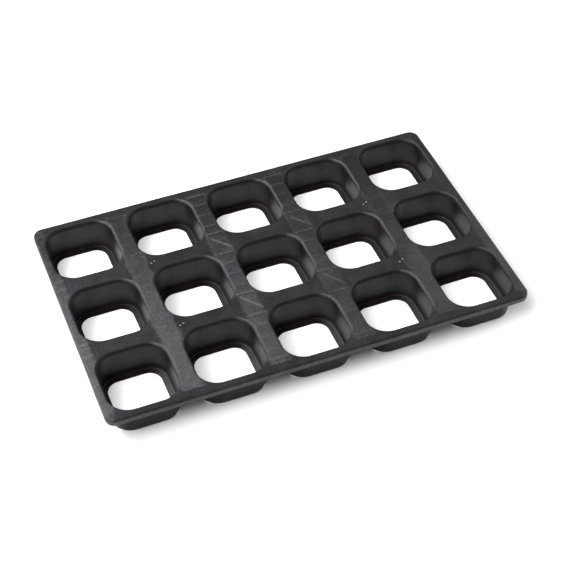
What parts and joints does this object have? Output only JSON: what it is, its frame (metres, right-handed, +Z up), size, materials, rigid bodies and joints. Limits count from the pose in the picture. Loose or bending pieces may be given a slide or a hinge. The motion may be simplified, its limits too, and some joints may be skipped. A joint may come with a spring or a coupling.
{
  "type": "plug tray",
  "caption": "Moulded nursery carry tray: a grid of open-bottomed rounded-square pot cells with inner ledges, hung from a flat deck with a short turned-down skirt.",
  "frame": {"origin": "centre of the tray on the plane it stands on (undersides of the cell ledges)", "axes": "+X along the long side, +Y across towards the back long side, +Z up out of the cell mouths"},
  "size_m": [0.5284, 0.326, 0.0438],
  "materials": {
    "deck_plastic": "satin moulded, fine tool lines across the ribs",
    "cell_plastic": "satin moulded, smoother drafted walls",
    "gate_stub_plastic": "torn gate stub, slightly whitened"
  },
  "bodies": {
    "root": {"deck": "deck_plastic", "rim_skirt": "deck_plastic", "gate_stubs": "gate_stub_plastic", "moulding_marks": "deck_plastic", "cell_r1c1": "cell_plastic", "cell_r1c2": "cell_plastic", "cell_r1c3": "cell_plastic", "cell_r1c4": "cell_plastic", "cell_r1c5": "cell_plastic", "cell_r2c1": "cell_plastic", "cell_r2c2": "cell_plastic", "cell_r2c3": "cell_plastic", "cell_r2c4": "cell_plastic", "cell_r2c5": "cell_plastic", "cell_r3c1": "cell_plastic", "cell_r3c2": "cell_plastic", "cell_r3c3": "cell_plastic", "cell_r3c4": "cell_plastic", "cell_r3c5": "cell_plastic"}
  },
  "joints": []
}
